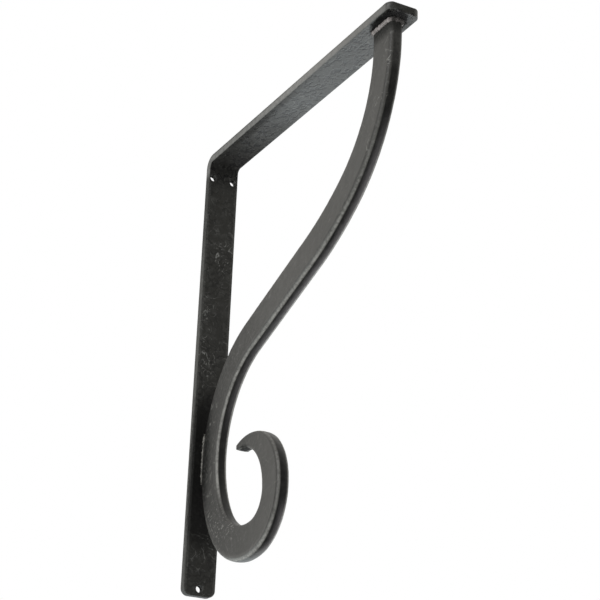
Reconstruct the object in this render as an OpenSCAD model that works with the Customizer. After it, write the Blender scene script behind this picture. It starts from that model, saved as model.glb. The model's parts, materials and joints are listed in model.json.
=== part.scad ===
// Decorative shelf bracket: a flat bar bent into leg and arm, braced by a forged S scroll.
// The wall is the plane Y = 0 and the arm reaches towards -Y. The origin is on the wall,
// midway between the two upper screw holes.

/* [Mounting bar] */
// Width of the flat bar
bar_w = 25.4; // [20:0.1:50]
// Thickness of the flat bar
bar_t = 6; // [4:0.1:10]
// Wall to the free end of the arm
arm_len = 279.4; // [250:0.1:330]
// Top of the arm to the lower end of the leg
leg_len = 355.6; // [320:0.1:420]
// Inside radius of the bend between leg and arm
bend_r = 4; // [2:0.1:8]
// Corner radius of the two free ends
end_r = 5.5; // [3:0.1:9]
// Rounding of the bar's long edges
bar_edge_r = 0.6; // [0.4:0.1:2]

/* [Screw holes] */
// Diameter of each screw hole
hole_d = 5.5; // [4:0.1:6]
// Spacing of the two upper screw holes
hole_pitch = 17.4; // [12:0.1:18]
// Top of the arm to the row of upper screw holes
hole_drop = 18.5; // [16:0.1:40]
// Lower end of the leg to the lower screw hole
low_hole_up = 5.5; // [5:0.1:30]

/* [Scroll] */
// Depth of the scroll's bar, seen from the side
scroll_w = 25.4; // [18:0.1:30]
// Thickness of the scroll's bar, across the bracket
scroll_t = 9; // [6:0.1:14]
// Rounding of the scroll's edges
scroll_edge_r = 2.5; // [0.5:0.1:3.5]
// Free end of the arm to the middle of the scroll's top
top_inset = 22.3; // [18:0.1:40]
// Lower end of the leg to the point where the belly touches it
touch_up = 100; // [90:0.1:130]
// Radius of the belly, at the middle of the bar
belly_r = 87.2; // [70:0.1:100]
// Turn of the belly above the touching point, in degrees
belly_up = 68.4; // [60:0.1:72]
// Turn of the belly below the touching point, in degrees
belly_down = 36; // [20:0.1:50]
// Radius of the first bend back towards the arm
shoulder_r = 214; // [150:0.1:260]
// Turn of that bend, in degrees
shoulder_turn = 15.8; // [5:0.1:25]
// Radius of the bend that brings the scroll up to the arm
neck_r = 118.7; // [110:0.1:140]
// Radius of the lower part of the curl
curl_r = 57.6; // [45:0.1:70]
// Turn of the lower part of the curl, in degrees
curl_turn = 66.7; // [50:0.1:90]
// Radius of the tight part of the curl
heel_r = 31.2; // [26:0.1:40]
// Outer radius of the tapered tip
tip_out_r = 46.6; // [42:0.1:52]
// Inner radius of the tapered tip
tip_in_r = 38.5; // [34:0.1:42]
// Middle of the curl's upright limb to the end of the tip
tip_reach = 54; // [46:0.1:56]

/* [Welds] */
// Leg of the bead round the scroll's top
arm_bead = 2.2; // [1.5:0.1:4]
// How far the beads beside the belly reach out over the leg
leg_bead = 1; // [0.8:0.1:3]
// Length of those beads
leg_bead_len = 40; // [15:0.5:60]
// Height of their middle over the point where the belly touches the leg
leg_bead_rise = 3; // [-10:0.5:10]

/* [Hidden] */
// Facets of a full circle, and of the small circles that round an edge
$fn = 120;
edge_fn = 32;
coat = [0.16, 0.16, 0.155];
rubbed = [0.3, 0.3, 0.285];
bead = [0.42, 0.41, 0.4];
// How far a cutter runs past the face it cuts
spare = 1;
// How far one stretch of the scroll runs into the next, and how much slimmer it is to fit there
let_in = 0.5;
let_slim = 0.02;

// Heights above the row of upper screw holes
arm_top = hole_drop;
arm_under = arm_top - bar_t;
leg_end = arm_top - leg_len;
bend_out = bend_r + bar_t;

// Touching point of the belly, at the middle of the scroll's bar
touch_y = -bar_t - scroll_w / 2;
touch_z = leg_end + touch_up;

// The S is closed by a straight stretch and by the last bend's turn: both follow from where
// the scroll starts on the leg and where it has to meet the arm.
top_y = top_inset - arm_len;
shoulder_end = belly_up - shoulder_turn;
rise = arm_under - touch_z - belly_r * sin(belly_up) - shoulder_r * (sin(belly_up) - sin(shoulder_end))
  - neck_r * sin(shoulder_end);
reach = touch_y - belly_r * (1 - cos(belly_up)) - shoulder_r * (cos(shoulder_end) - cos(belly_up))
  + neck_r * cos(shoulder_end) - top_y;
top_lean = belly_up - acos((reach * cos(belly_up) - rise * sin(belly_up)) / neck_r);
straight_len = rise * cos(belly_up) + reach * sin(belly_up) - neck_r * sin(belly_up - top_lean);
neck_turn = shoulder_end - top_lean;
heel_turn = 180 - belly_down - curl_turn;
// Extra turn at the top, trimmed off flush with the arm
trim_turn = 8;
// Depth of the scroll's bar along the arm, where it is cut flush
top_depth = scroll_w / cos(top_lean);

// Rectangle with rounded corners, centred
module bar_section(w, t, r) {
  square([w - 2 * r, t], center = true);
  square([w, t - 2 * r], center = true);
  for (x = [-1, 1], y = [-1, 1])
    translate([x * (w / 2 - r), y * (t / 2 - r)]) circle(r, $fn = edge_fn);
}

// Half of a disc's section, from the axis out to a rounded rim
module disc_section(radius, t, r) {
  translate([0, -t / 2]) square([radius - r, t]);
  translate([0, r - t / 2]) square([radius, t - 2 * r]);
  for (y = [-1, 1])
    translate([radius - r, y * (t / 2 - r)]) circle(r, $fn = edge_fn);
}

// Half section of a cutter that leaves a rounded edge on the hole it cuts
module hole_section(radius, t, r) {
  translate([0, -t / 2 - spare]) square([radius, t + 2 * spare]);
  difference() {
    translate([0, -t / 2]) square([radius + r, t]);
    translate([radius, r - t / 2]) square([2 * r, t - 2 * r]);
    for (y = [-1, 1])
      translate([radius + r, y * (t / 2 - r)]) circle(r, $fn = edge_fn);
  }
}

// Turns a drawing's plane upright: its X along Y, its Y along Z, extruded along X
module upright() {
  rotate([90, 0, 90]) children();
}

// One free end of the flat bar, lying in the XY plane with its tip towards -Y
module rounded_end() {
  for (x = [-1, 1])
    translate([x * (bar_w / 2 - end_r), end_r, 0])
      rotate_extrude() disc_section(end_r, bar_t, bar_edge_r);
  translate([end_r - bar_w / 2, end_r, 0])
    upright() linear_extrude(bar_w - 2 * end_r) bar_section(2 * end_r, bar_t, bar_edge_r);
}

module screw_hole(x, z) {
  translate([x, spare, z])
    rotate([90, 0, 0]) cylinder(d = hole_d, h = bar_t + 2 * spare);
}

// Leg, bend and arm: one flat bar, bent once
module mounting_bar() {
  color(coat)
    difference() {
      union() {
        translate([0, -bar_t / 2, leg_end + end_r])
          linear_extrude(leg_len - bend_out - end_r) bar_section(bar_w, bar_t, bar_edge_r);
        translate([0, -bend_out, arm_top - bend_out])
          upright() rotate_extrude(angle = 90) translate([bend_r + bar_t / 2, 0])
            bar_section(bar_t, bar_w, bar_edge_r);
        translate([0, -bend_out, arm_top - bar_t / 2])
          rotate([90, 0, 0]) linear_extrude(arm_len - bend_out - end_r)
            bar_section(bar_w, bar_t, bar_edge_r);
        translate([0, -arm_len, arm_top - bar_t / 2]) rounded_end();
        translate([0, -bar_t / 2, leg_end]) rotate([90, 0, 0]) rounded_end();
      }
      for (x = [-1, 1])
        screw_hole(x * hole_pitch / 2, 0);
      screw_hole(0, leg_end + low_hole_up);
    }
}

// Section of the scroll's bar, slimmer where it is let into a neighbour
module scroll_section(slim = 0) {
  bar_section(scroll_w - 2 * slim, scroll_t - 2 * slim, scroll_edge_r);
}

// A bend of the scroll's bar, which runs along +Z at angle 0 and turns towards -Y
module turn(r, to, from = 0, slim = 0) {
  translate([0, -r, 0])
    upright() rotate(from) rotate_extrude(angle = to - from) translate([r, 0]) scroll_section(slim);
}

// Angle that takes up the let-in length on a bend
function let_turn(r) = let_in / r * 180 / PI;

// Carries its children to where a bend has reached an angle
module after_turn(r, a) {
  translate([0, -r, 0]) rotate([a, 0, 0]) translate([0, r, 0]) children();
}

// The tapered tip: a crescent between two circles, cut off square at its end
module tip() {
  half_w = scroll_w / 2 - let_slim;
  tip_t = scroll_t - 2 * let_slim;
  intersection() {
    difference() {
      translate([0, half_w - tip_out_r, 0])
        upright() rotate_extrude() disc_section(tip_out_r, tip_t, scroll_edge_r);
      translate([0, -half_w - tip_in_r, 0])
        upright() rotate_extrude() hole_section(tip_in_r, tip_t, scroll_edge_r);
    }
    translate([-scroll_t, -tip_reach, -let_in])
      cube([2 * scroll_t, tip_reach + scroll_w, 2 * tip_out_r]);
  }
}

// From the belly up to the arm
module upper_scroll() {
  after_turn(belly_r, belly_up) {
    translate([0, 0, -let_in])
      linear_extrude(straight_len + 2 * let_in) rotate(90) scroll_section(let_slim);
    translate([0, 0, straight_len]) mirror([0, 1, 0]) {
      turn(shoulder_r, shoulder_turn);
      after_turn(shoulder_r, shoulder_turn)
        turn(neck_r, neck_turn + trim_turn, -let_turn(neck_r), let_slim);
    }
  }
}

// From the belly down, round the curl and out to the tip
module lower_scroll() {
  after_turn(belly_r, -belly_down) mirror([0, 0, 1]) {
    turn(curl_r, curl_turn + let_turn(curl_r), -let_turn(curl_r), let_slim);
    after_turn(curl_r, curl_turn) {
      turn(heel_r, heel_turn);
      after_turn(heel_r, heel_turn) tip();
    }
  }
}

module scroll_shape() {
  difference() {
    translate([0, touch_y, touch_z]) {
      turn(belly_r, belly_up, -belly_down);
      upper_scroll();
      lower_scroll();
    }
    translate([-bar_w, -arm_len - scroll_w, arm_under])
      cube([2 * bar_w, arm_len, 2 * scroll_w]);
  }
}

module scroll_brace() {
  color(rubbed) scroll_shape();
}

// Section of a bead that narrows from the plate it lies on, drawn with the plate at Y = 0
module bead_section(depth, leg) {
  polygon([
    [-depth / 2 - leg, 0], [depth / 2 + leg, 0],
    [depth / 2 - leg / 8, -9 / 8 * leg], [leg / 8 - depth / 2, -9 / 8 * leg]
  ]);
}

// A straight length of that bead under the arm, across X, centred
module bead_bar(depth, leg, run) {
  translate([-run / 2, 0, 0])
    upright() linear_extrude(run) bead_section(depth, leg);
}

// Bead all round the scroll's top
module arm_weld() {
  r = scroll_edge_r;
  deep = 9 / 8 * arm_bead;
  color(bead)
    difference() {
      translate([0, top_y, arm_under]) {
        bead_bar(top_depth, arm_bead, scroll_t - 2 * r);
        rotate(90) bead_bar(scroll_t, arm_bead, top_depth - 2 * r);
        for (x = [-1, 1], y = [-1, 1])
          translate([x * (scroll_t / 2 - r), y * (top_depth / 2 - r), -deep])
            cylinder(h = deep, r1 = r - arm_bead / 8, r2 = r + arm_bead);
      }
      scroll_shape();
    }
}

// Bead in the corner between the leg and one side of the belly
module leg_weld(side) {
  edge = scroll_t / 2;
  root = edge - scroll_edge_r / 2;
  high = scroll_edge_r + leg_bead / 2;
  color(bead)
    difference() {
      translate([0, -bar_t, touch_z + leg_bead_rise - leg_bead_len / 2])
        linear_extrude(leg_bead_len)
          polygon([
            [side * (edge + leg_bead), 0], [side * root, 0],
            [side * root, -high], [side * edge, -high]
          ]);
      scroll_shape();
    }
}

module leg_weld_left() {
  leg_weld(-1);
}

module leg_weld_right() {
  leg_weld(1);
}

mounting_bar();
scroll_brace();
arm_weld();
leg_weld_left();
leg_weld_right();
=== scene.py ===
"""Looks of a decorative shelf bracket: a bent flat bar, braced by a forged S scroll."""

import json
import logging
import math
import random
from collections.abc import Callable
from dataclasses import dataclass, field
from enum import Enum
from typing import Any

import bmesh
import bpy
from mathutils import Matrix, Vector

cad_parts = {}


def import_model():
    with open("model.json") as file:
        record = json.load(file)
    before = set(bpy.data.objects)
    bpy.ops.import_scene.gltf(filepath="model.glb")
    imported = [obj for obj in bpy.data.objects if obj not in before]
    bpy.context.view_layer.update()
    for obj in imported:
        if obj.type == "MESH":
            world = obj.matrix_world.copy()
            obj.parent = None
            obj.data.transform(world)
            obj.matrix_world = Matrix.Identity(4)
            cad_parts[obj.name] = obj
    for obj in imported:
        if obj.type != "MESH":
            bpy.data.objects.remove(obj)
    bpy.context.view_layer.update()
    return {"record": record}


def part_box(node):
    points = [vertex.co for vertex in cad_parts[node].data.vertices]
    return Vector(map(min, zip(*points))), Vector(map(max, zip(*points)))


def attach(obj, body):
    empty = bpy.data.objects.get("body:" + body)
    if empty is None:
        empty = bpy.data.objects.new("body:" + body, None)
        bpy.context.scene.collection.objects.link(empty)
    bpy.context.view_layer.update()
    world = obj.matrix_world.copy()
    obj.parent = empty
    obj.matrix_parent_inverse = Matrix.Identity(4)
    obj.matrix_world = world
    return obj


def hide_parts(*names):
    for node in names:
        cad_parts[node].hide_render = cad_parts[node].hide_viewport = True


LOG = logging.getLogger("shelf_bracket")
BODY = "root"
MM = 0.001

Colour = tuple[float, float, float]
Point = tuple[float, float, float]
Socket = bpy.types.NodeSocket
Weight = Callable[[Vector, Vector], float]


class Side(Enum):
    """The row axis that a bar section's long side lies along."""

    X = 0
    Y = 1


class Bend(Enum):
    """Which way a stretch of the scroll turns: towards the arm's free end, or back to the wall."""

    OUT = 1
    BACK = -1


class Graph:
    """Adds shader nodes to one node tree and wires them up."""

    def __init__(self, tree: bpy.types.NodeTree) -> None:
        """Starts with an emptied tree."""
        self.tree = tree
        tree.nodes.clear()

    def add(self, kind: str, inputs: dict[Any, Any] | None = None, **settings: Any) -> bpy.types.Node:
        """Adds one node.

        Args:
            kind: the node's type name.
            inputs: input names or numbers, each with a value or a socket to link from.
            **settings: the node's own properties.

        Returns:
            The new node.
        """
        node = self.tree.nodes.new(kind)
        for name, value in settings.items():
            setattr(node, name, value)
        for key, value in (inputs or {}).items():
            if isinstance(value, Socket):
                self.tree.links.new(value, node.inputs[key])
            else:
                node.inputs[key].default_value = value
        return node

    def math(self, operation: str, a: Any, b: Any = 0.0, clamp: bool = False) -> Socket:
        """Returns the result of one arithmetic step."""
        return self.add("ShaderNodeMath", {0: a, 1: b}, operation=operation, use_clamp=clamp).outputs[0]

    def product(self, *factors: Any) -> Socket:
        """Multiplies values.

        Args:
            *factors: two or more numbers or sockets.

        Returns:
            Their product.
        """
        total = factors[0]
        for factor in factors[1:]:
            total = self.math("MULTIPLY", total, factor)
        return total

    def vector(self, operation: str, a: Any, b: Any) -> Socket:
        """Returns the result of one step with vectors."""
        return self.add("ShaderNodeVectorMath", {0: a, 1: b}, operation=operation).outputs[0]

    def axis(self, place: Socket, name: str) -> Socket:
        """Returns one coordinate of a place."""
        return self.add("ShaderNodeSeparateXYZ", {0: place}).outputs[name]

    def step(self, value: Any, low: float, high: float, to_low: float = 0.0, to_high: float = 1.0) -> Socket:
        """Returns value eased from one level to another between low and high."""
        inputs = {"Value": value, "From Min": low, "From Max": high, "To Min": to_low, "To Max": to_high}
        return self.add("ShaderNodeMapRange", inputs, interpolation_type="SMOOTHSTEP").outputs["Result"]

    def noise(self, place: Socket, scale: float, detail: float = 3.0, rough: float = 0.55) -> Socket:
        """Returns a cloudy value, with scale in patches a metre."""
        inputs = {"Vector": place, "Scale": scale, "Detail": detail, "Roughness": rough}
        return self.add("ShaderNodeTexNoise", inputs).outputs[0]

    def stretched(self, place: Socket, scale: Point, turn: Point) -> Socket:
        """Returns the place, turned and then stretched along its axes."""
        turned = self.add("ShaderNodeMapping", {"Vector": place, "Rotation": turn}).outputs[0]
        return self.add("ShaderNodeMapping", {"Vector": turned, "Scale": scale}).outputs[0]

    def mix(self, share: Any, a: Any, b: Any) -> Socket:
        """Blends two colours.

        Args:
            share: the second colour's share.
            a: the first colour.
            b: the second colour.

        Returns:
            The blended colour.
        """
        node = self.add("ShaderNodeMix", data_type="RGBA")
        for number, value in ((0, share), (6, a), (7, b)):
            if isinstance(value, Socket):
                self.tree.links.new(value, node.inputs[number])
            else:
                node.inputs[number].default_value = (*value, 1.0) if isinstance(value, tuple) else value
        return node.outputs[2]

    def attribute(self, name: str) -> Socket:
        """Returns one of the piece's own values."""
        return self.add("ShaderNodeAttribute", attribute_name=name).outputs["Fac"]


@dataclass(frozen=True)
class Spot:
    """A soft-edged place on the part.

    Attributes:
        at: its middle.
        reach: how far it spreads along X, Y and Z.
        full: share of its reach at which it begins to fade.
        share: how strong it is in its middle.
    """

    at: Point
    reach: Point
    full: float = 0.4
    share: float = 1.0

    def mask(self, g: Graph, place: Socket) -> Socket:
        """Masks the spot.

        Args:
            g: the material's graph.
            place: the place on the piece.

        Returns:
            The spot's share round its middle, falling to 0 at its reach.
        """
        shares = g.vector("DIVIDE", g.vector("SUBTRACT", place, self.at), self.reach)
        away = g.add("ShaderNodeVectorMath", {0: shares}, operation="LENGTH").outputs["Value"]
        return g.step(away, self.full, 1.0, self.share, 0.0)


@dataclass(frozen=True)
class CoatFinish:
    """A dark coat, rubbed lighter on its edges, mottled, scuffed and finely scratched, darkened in places,
    with painted shade in some of them and in its hollows.

    Attributes:
        name: the material's name.
        base: the coat's colour.
        worn: the colour where the coat is rubbed through, and on the scroll's edges of the painted
            highlight.
        soot_and_shade: the colour of the darkened places, round the welds and where painted shade lies.
        soot_and_shade_cover: how far that colour hides the coat there.
        soot_and_shade_more: how much duller the coat is there.
        rough: how dull the coat is.
        grain: depth of the fine grain, in metres.
        patch: mottled patches a metre.
        mottle: how far the mottling lightens the coat.
        scratch: how far a scratch lightens the coat.
        scratch_turns: the directions that the scratches run in.
        edge_rub_and_highlight: how far the edges are rubbed; on the scroll this also sets its painted
            highlight.
        edge_soot_and_shade: how far the darkened places cover the rubbed edges.
        dull_and_shaded_spots: places where the coat was never rubbed; on the scroll they also get painted
            shade.
        dull_more: how much duller the coat is there.
        dull_shade_tint: its colour there, as a share of the coat's, which paints shade where below 1.
        soot_and_shade_spots: the darkened places: round the welds, and painted shade where the parts shade
            each other.
        scuff_spots: places with more specks and scratches.
        ragged: noise cells a metre in the spots, and the least share left inside them.
        wander: how far the spots' rims wander, in metres.
    """

    name: str
    base: Colour
    worn: Colour
    soot_and_shade: Colour = (0.007, 0.007, 0.006)
    soot_and_shade_cover: float = 0.9
    soot_and_shade_more: float = 0.6
    rough: float = 0.38
    grain: float = 0.06 * MM
    patch: float = 90.0
    mottle: float = 0.1
    scratch: float = 0.25
    scratch_turns: tuple[Point, ...] = ((0.6, 0.0, 0.0), (-0.9, 0.2, 0.0), (1.9, 0.0, 0.4))
    edge_rub_and_highlight: float = 0.5
    edge_soot_and_shade: float = 1.0
    dull_and_shaded_spots: tuple[Spot, ...] = ()
    dull_more: float = 0.25
    dull_shade_tint: float = 0.8
    soot_and_shade_spots: tuple[Spot, ...] = ()
    scuff_spots: tuple[Spot, ...] = ()
    ragged: tuple[float, float] = (160.0, 0.6)
    wander: float = 0.0

    def material(self) -> bpy.types.Material:
        """Builds the material.

        Returns:
            The new material.
        """
        made = bpy.data.materials.new(self.name)
        made.use_nodes = True
        g = Graph(made.node_tree)
        place = g.add("ShaderNodeTexCoord").outputs["Object"]
        clouds = g.noise(place, self.patch, detail=6.0, rough=0.68)
        dull = self.spread(g, place, self.dull_and_shaded_spots)
        burnt_and_shaded = self.spread(g, place, self.soot_and_shade_spots)
        marks = self.marks(g, place)
        worn = g.math("ADD", g.step(clouds, 0.42, 0.78, 0.0, self.mottle), self.specks(g, place, marks))
        worn = g.math("ADD", worn, self.scratches(g, place, marks), clamp=True)
        rubbed = g.math("SUBTRACT", 1.0, g.product(burnt_and_shaded, self.edge_soot_and_shade))
        rubbed = g.math("MULTIPLY", self.edges(g, place), rubbed, clamp=True)
        height = self.relief(g, place)
        colour = g.mix(worn, self.coat(g, dull), self.worn)
        # Darkened places: round the welds, and painted shade where the parts shade each other.
        colour = g.mix(g.product(burnt_and_shaded, self.soot_and_shade_cover), colour, self.soot_and_shade)
        # Rubbed edges in the worn colour; on the scroll, partly a painted highlight.
        colour = g.mix(rubbed, colour, self.worn)
        # Painted shade in the grain's hollows, and on the bar in the creases between the pebbles.
        colour = g.mix(self.hollows(g, height), colour, self.soot_and_shade)
        rough = g.step(clouds, 0.3, 0.75, self.rough - 0.05, self.rough + 0.07)
        rough = g.math("ADD", rough, g.product(dull, self.dull_more))
        rough = g.math("ADD", rough, g.product(burnt_and_shaded, self.soot_and_shade_more), clamp=True)
        bump = g.add("ShaderNodeBump", {"Strength": 1.0, "Distance": self.grain, "Height": height})
        skin = g.add(
            "ShaderNodeBsdfPrincipled",
            {"Base Color": colour, "Roughness": rough, "Normal": bump.outputs[0], "IOR": 1.5},
        )
        g.add("ShaderNodeOutputMaterial", {"Surface": skin.outputs[0]})
        return made

    def spread(self, g: Graph, place: Socket, spots: tuple[Spot, ...]) -> Any:
        """Masks some spots, with ragged rims.

        Args:
            g: the material's graph.
            place: the place on the piece.
            spots: the spots.

        Returns:
            The strongest spot's share.
        """
        scale, least = self.ragged
        cells = {"Vector": place, "Scale": scale, "Detail": 3.0}
        drift = g.vector("SUBTRACT", g.add("ShaderNodeTexNoise", cells).outputs["Color"], (0.5, 0.5, 0.5))
        away = {0: drift, "Scale": 4 * self.wander}
        moved = g.vector("ADD", place, g.add("ShaderNodeVectorMath", away, operation="SCALE").outputs[0])
        total: Any = 0.0
        for spot in spots:
            total = g.math("MAXIMUM", total, spot.mask(g, moved))
        ragged = g.step(g.noise(place, scale, detail=4.0, rough=0.6), 0.25, 0.6, least, 1.0)
        return g.product(total, ragged)

    def coat(self, g: Graph, dull: Socket) -> Socket:
        """Returns the coat's own colour, of another tint where it was never rubbed, which on the scroll is
        painted shade.
        """
        return g.mix(dull, self.base, tuple(self.dull_shade_tint * level for level in self.base))

    def relief(self, g: Graph, place: Socket) -> Socket:
        """Returns the height of the coat's fine grain."""
        return g.noise(place, 700.0, detail=4.0, rough=0.6)

    def hollows(self, g: Graph, height: Socket) -> Any:
        """Returns a mask of the grain's hollows, which get painted shade."""
        return g.step(height, 0.2, 0.42, 0.3, 0.0)

    def marks(self, g: Graph, place: Socket) -> Any:
        """Masks the scuffed places.

        Args:
            g: the material's graph.
            place: the place on the piece.

        Returns:
            How strong specks and scratches are.
        """
        total: Any = self.scratch
        for spot in self.scuff_spots:
            total = g.math("ADD", total, spot.mask(g, place))
        return total

    def specks(self, g: Graph, place: Socket, marks: Any) -> Socket:
        """Masks small light specks that lie in loose groups.

        Args:
            g: the material's graph.
            place: the place on the piece.
            marks: how strong they are.

        Returns:
            The specks' share.
        """
        grains = g.step(g.noise(place, 620.0, detail=1.5), 0.6, 0.72)
        groups = g.step(g.noise(place, 75.0, detail=2.0), 0.5, 0.64)
        for spot in self.scuff_spots:
            groups = g.math("MAXIMUM", groups, spot.mask(g, place))
        return g.product(grains, groups, marks)

    def scratches(self, g: Graph, place: Socket, marks: Any) -> Socket:
        """Masks broken hairlines that run in a few directions.

        Args:
            g: the material's graph.
            place: the place on the piece.
            marks: how strong they are.

        Returns:
            The hairlines' share.
        """
        total: Any = 0.0
        for number, turn in enumerate(self.scratch_turns):
            long = g.stretched(place, (90.0, 150.0, 16.0), turn)
            level = g.math("ABSOLUTE", g.math("SUBTRACT", g.noise(long, 1.0, detail=0.5), 0.5))
            line = g.step(level, 0.004, 0.016, 1.0, 0.0)
            broken = g.step(g.noise(place, 110.0 + 40.0 * number, detail=2.0), 0.52, 0.63)
            total = g.math("ADD", total, g.product(line, broken))
        return g.product(total, marks)

    def edges(self, g: Graph, place: Socket) -> Socket:
        """Masks the rubbed edges.

        Args:
            g: the material's graph.
            place: the place on the piece.

        Returns:
            A share that is greatest on the bar's long edges and uneven from wear.
        """
        near = g.step(g.attribute("edge"), 0.52, 0.88)
        uneven = g.step(g.noise(place, 260.0, detail=4.0), 0.3, 0.7, 0.45, 1.0)
        return g.product(near, uneven, self.edge_rub_and_highlight)


@dataclass(frozen=True)
class BarFinish(CoatFinish):
    """The flat bar's coat: pebbled all over, with the arm's narrow sides rubbed bright.

    Attributes:
        pebble: pebbles a metre, along X, Y and Z.
        arm_from: height above which the bar is the arm.
        arm_end: where the arm ends, along Y.
        side_rub: how far the arm's narrow sides are rubbed.
        rim_rub_and_sheen: how far the borders of the leg's front are rubbed.
    """

    pebble: Point = (200.0, 125.0, 200.0)
    arm_from: float = 0.0
    arm_end: float = -0.28
    side_rub: float = 0.88
    rim_rub_and_sheen: float = 0.14

    def arm(self, g: Graph, place: Socket) -> Socket:
        """Returns 1 on the arm and 0 on the leg."""
        return g.step(g.axis(place, "Z"), self.arm_from - 4 * MM, self.arm_from + 6 * MM)

    def edges(self, g: Graph, place: Socket) -> Socket:
        """Masks the rubbed edges, with the narrow sides of the arm and the borders of the leg's front.

        Args:
            g: the material's graph.
            place: the place on the piece.

        Returns:
            The rubbed share.
        """
        along = g.axis(place, "Y")
        arm = self.arm(g, place)
        across = g.math("ABSOLUTE", g.attribute("across"))
        side = g.product(g.step(across, 0.94, 0.985), g.step(g.attribute("through"), 0.3, 0.75, 1.0, 0.3))
        rubbed = g.product(
            side,
            g.step(g.noise(place, 220.0, detail=5.0, rough=0.65), 0.3, 0.65, 0.65, 1.0),
            self.side_rub,
            g.step(arm, 0.0, 1.0, 0.12, 1.0),
            g.step(along, self.arm_end + 1 * MM, self.arm_end + 7 * MM, 0.15, 1.0),
            g.step(along, self.arm_end + 10 * MM, self.arm_end + 150 * MM, 0.4, 1.0),
        )
        rim = g.product(
            g.step(across, 0.8, 0.88),
            g.step(across, 0.95, 0.97, 1.0, 0.0),
            g.step(arm, 0.0, 1.0, self.rim_rub_and_sheen, 0.0),
        )
        return g.math("MAXIMUM", g.math("MAXIMUM", rubbed, rim), super().edges(g, place))

    def relief(self, g: Graph, place: Socket) -> Socket:
        """Shapes the pebbles, between creased hollows that are deepest under the arm.

        Args:
            g: the material's graph.
            place: the place on the piece.

        Returns:
            The pebbles' height.
        """
        level = g.math("SUBTRACT", g.noise(g.stretched(place, self.pebble, (0, 0, 0)), 1.0, detail=1.5), 0.5)
        crease = g.step(g.math("ABSOLUTE", level), 0.0, 0.095, 1.0, 0.0)
        groups = g.product(
            g.step(g.noise(place, 90.0, detail=2.0), 0.36, 0.54, 0.42, 1.0),
            g.step(g.attribute("through"), -0.9, -0.5, 1.0, 0.3),
            g.step(self.arm(g, place), 0.0, 1.0, 0.55, 1.0),
            g.step(g.math("ABSOLUTE", g.attribute("across")), 0.94, 0.985, 1.0, 0.25),
        )
        return g.math("SUBTRACT", 1.0, g.product(crease, groups))

    def hollows(self, g: Graph, height: Socket) -> Any:
        """Returns a mask of the creases between the pebbles, which get painted shade and coat gathered in
        them.
        """
        return g.step(height, 0.1, 0.9, 0.95, 0.0)


@dataclass(frozen=True)
class ScrollFinish(CoatFinish):
    """The scroll's coat: flat sides rubbed to pewter, narrow sides left nearly black, partly as painted
    shade.

    Attributes:
        raw_and_shaded: the coat's colour on the narrow sides, dark partly as painted shade.
        inner_rub_and_highlight: heights between which the rubbing and painted highlight of the inner edges
            fade out, upwards.
        outer_rub_and_highlight: the same for the outer edges.
        curl_rub_and_highlight: heights between which they fade out on the inner edges, down into the curl.
        heel_rub_and_highlight: heights between which they drop to about half on the outer edges, upwards.
        rim_rub_and_sheen: how far the borders of the flat sides are rubbed and painted with sheen, as a
            share of the edges.
        dust_and_sheen: the colour of lighter places on the narrow sides, partly dirt and partly painted
            sheen.
        dust_and_sheen_spots: those places.
    """

    raw_and_shaded: Colour = (0.009, 0.009, 0.0085)
    inner_rub_and_highlight: tuple[float, float] = (-0.15, -0.03)
    outer_rub_and_highlight: tuple[float, float] = (-0.225, -0.195)
    curl_rub_and_highlight: tuple[float, float] = (-0.285, -0.258)
    heel_rub_and_highlight: tuple[float, float] = (-0.318, -0.297)
    rim_rub_and_sheen: float = 0.15
    dust_and_sheen: Colour = (0.052, 0.051, 0.048)
    dust_and_sheen_spots: tuple[Spot, ...] = ()

    def coat(self, g: Graph, dull: Socket) -> Socket:
        """Colours the coat: pewter on the flat sides; nearly black on the narrow ones, partly as painted
        shade, lighter in a few places.

        Args:
            g: the material's graph.
            dull: mask of the places that were never rubbed.

        Returns:
            The coat's own colour.
        """
        place = g.add("ShaderNodeTexCoord").outputs["Object"]
        dust_and_sheen_share = self.spread(g, place, self.dust_and_sheen_spots)
        # Narrow sides painted darker: partly unrubbed coat, partly painted shade.
        return g.mix(self.narrow(g), super().coat(g, dull), g.mix(dust_and_sheen_share, self.raw_and_shaded, self.dust_and_sheen))

    def narrow(self, g: Graph) -> Socket:
        """Returns a mask of the narrow sides."""
        return g.step(g.math("ABSOLUTE", g.attribute("through")), 0.44, 0.6, 1.0, 0.0)

    def marks(self, g: Graph, place: Socket) -> Any:
        """Returns how strong specks and scratches are: little on the narrow sides."""
        return g.product(super().marks(g, place), g.step(self.narrow(g), 0.0, 1.0, 1.0, 0.25))

    def edges(self, g: Graph, place: Socket) -> Socket:
        """Masks a thin line along each edge with a soft rim, rubbed wear with a painted highlight, which
        fades out towards the scroll's top.

        Args:
            g: the material's graph.
            place: the place on the piece.

        Returns:
            The share of rubbed wear and painted highlight.
        """
        high = g.axis(place, "Z")
        through = g.math("ABSOLUTE", g.attribute("through"))
        outside = g.step(g.attribute("across"), -0.1, 0.1)
        outer = g.product(
            g.step(high, *self.outer_rub_and_highlight, 1.0, 0.0),
            g.step(high, *self.heel_rub_and_highlight, 1.0, 0.5),
            outside,
        )
        inner = g.product(
            g.step(high, *self.inner_rub_and_highlight, 1.0, 0.12),
            g.step(high, *self.curl_rub_and_highlight, 0.2, 1.0),
            g.math("SUBTRACT", 1.0, outside),
        )
        # Painted highlight along the edges, with rubbed wear: a thin line, and a soft rim onto the flat
        # sides.
        line = g.product(g.step(through, 0.43, 0.68), g.step(through, 0.72, 1.0, 1.0, 0.0))
        rim = g.step(g.math("ABSOLUTE", g.attribute("across")), 0.68, 0.92, 0.0, self.rim_rub_and_sheen)
        line = g.math("MAXIMUM", line, g.product(rim, g.step(through, 0.6, 0.75)))
        uneven = g.step(g.noise(place, 420.0, detail=4.0, rough=0.7), 0.32, 0.66, 0.45, 1.0)
        return g.product(line, uneven, self.edge_rub_and_highlight, g.math("ADD", outer, inner))


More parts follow.
